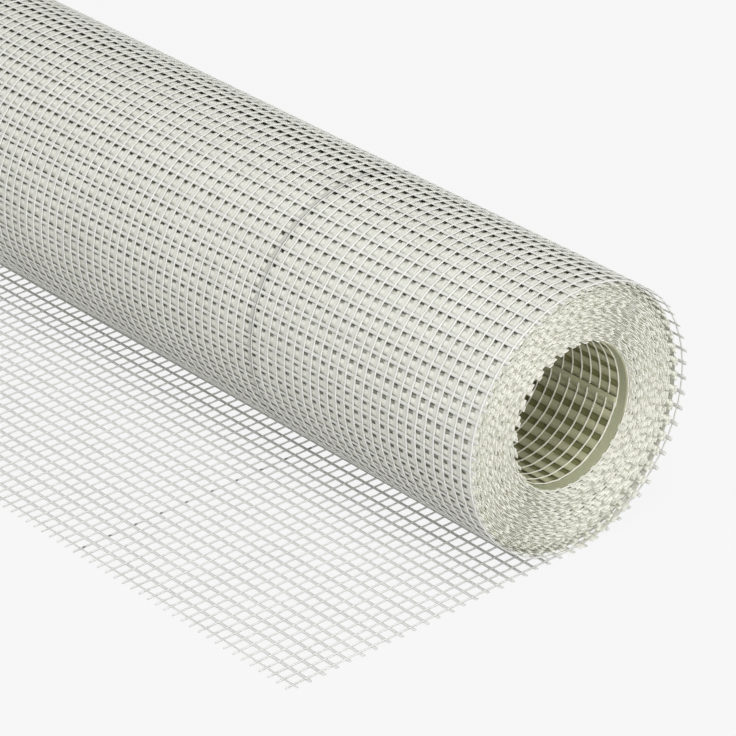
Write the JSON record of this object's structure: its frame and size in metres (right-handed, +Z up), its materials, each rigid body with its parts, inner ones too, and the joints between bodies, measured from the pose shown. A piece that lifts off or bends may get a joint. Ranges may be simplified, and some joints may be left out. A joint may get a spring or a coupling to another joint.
{
  "type": "roll of fiberglass mesh",
  "caption": "Rolled length of open alkali-resistant glass-fibre mesh with a bare bore, lying on its loose end; bedded in render, plaster or screed to stop cracks.",
  "frame": {"origin": "middle of the bounding box on the floor that the roll lies on", "axes": "+X along the roll's axis towards the end with the marker yarn, -Y the way the loose end points, +Z up"},
  "size_m": [1, 0.163, 0.0911],
  "materials": {
    "coated_glass_mesh": "white coated glass yarn with a soft sheen, dull olive-grey in the depth of the cells, one black marker yarn near an edge"
  },
  "bodies": {
    "root": {"mesh_roll": "coated_glass_mesh"}
  },
  "joints": []
}
